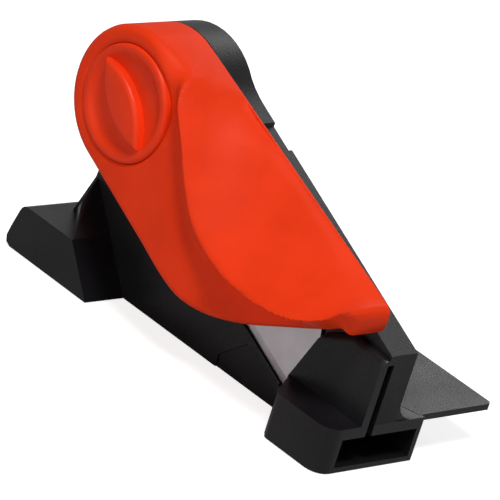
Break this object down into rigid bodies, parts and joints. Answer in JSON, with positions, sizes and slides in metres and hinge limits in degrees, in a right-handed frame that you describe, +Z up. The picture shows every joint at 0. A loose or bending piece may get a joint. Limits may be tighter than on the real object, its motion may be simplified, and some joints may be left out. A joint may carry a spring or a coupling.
{
  "type": "strip trimming cutter",
  "caption": "Hand-held trimming cutter: black body with rear foot, front guide tunnel and side wing, orange swinging blade cover with turn-lock knob, trapezoid steel blade.",
  "frame": {"origin": "centre of the bounding box in plan, at the underside of the feet", "axes": "+X towards the open front of the guide tunnel, +Y towards the side wing, +Z up"},
  "size_m": [0.094, 0.0512, 0.0577],
  "materials": {
    "black_plastic": "fine grain",
    "orange_plastic": "satin",
    "steel": "ground",
    "brass": "plain",
    "rubber": "matt"
  },
  "bodies": {
    "body": {"main_body": "black_plastic", "side_plate": "black_plastic", "pivot_bush": "steel", "nut_washer": "steel", "lock_nut": "steel", "cutting_blade": "steel", "blade_magnet_front": "steel", "blade_magnet_rear": "steel", "locator_pin_front": "steel", "locator_pin_rear": "steel", "side_screw_1": "steel", "side_screw_2": "steel", "side_screw_3": "steel", "stop_pin": "steel", "wave_washer": "steel"},
    "cover": {"blade_cover": "orange_plastic", "thrust_washer": "brass", "press_pad": "rubber"},
    "knob": {"lock_knob": "orange_plastic", "knob_bolt": "steel", "detent_ball": "steel", "detent_spring": "steel"}
  },
  "joints": [
    {"name": "cover_swing", "type": "hinge", "parent": "body", "child": "cover", "pos_m": [-0.02415, -0.02055, 0.0424], "axis": [0, -1, 0], "range_deg": [0, 100]},
    {"name": "knob_turn", "type": "hinge", "parent": "cover", "child": "knob", "pos_m": [-0.02415, -0.02055, 0.0424], "axis": [0, -1, 0], "range_deg": [0, 90]}
  ]
}
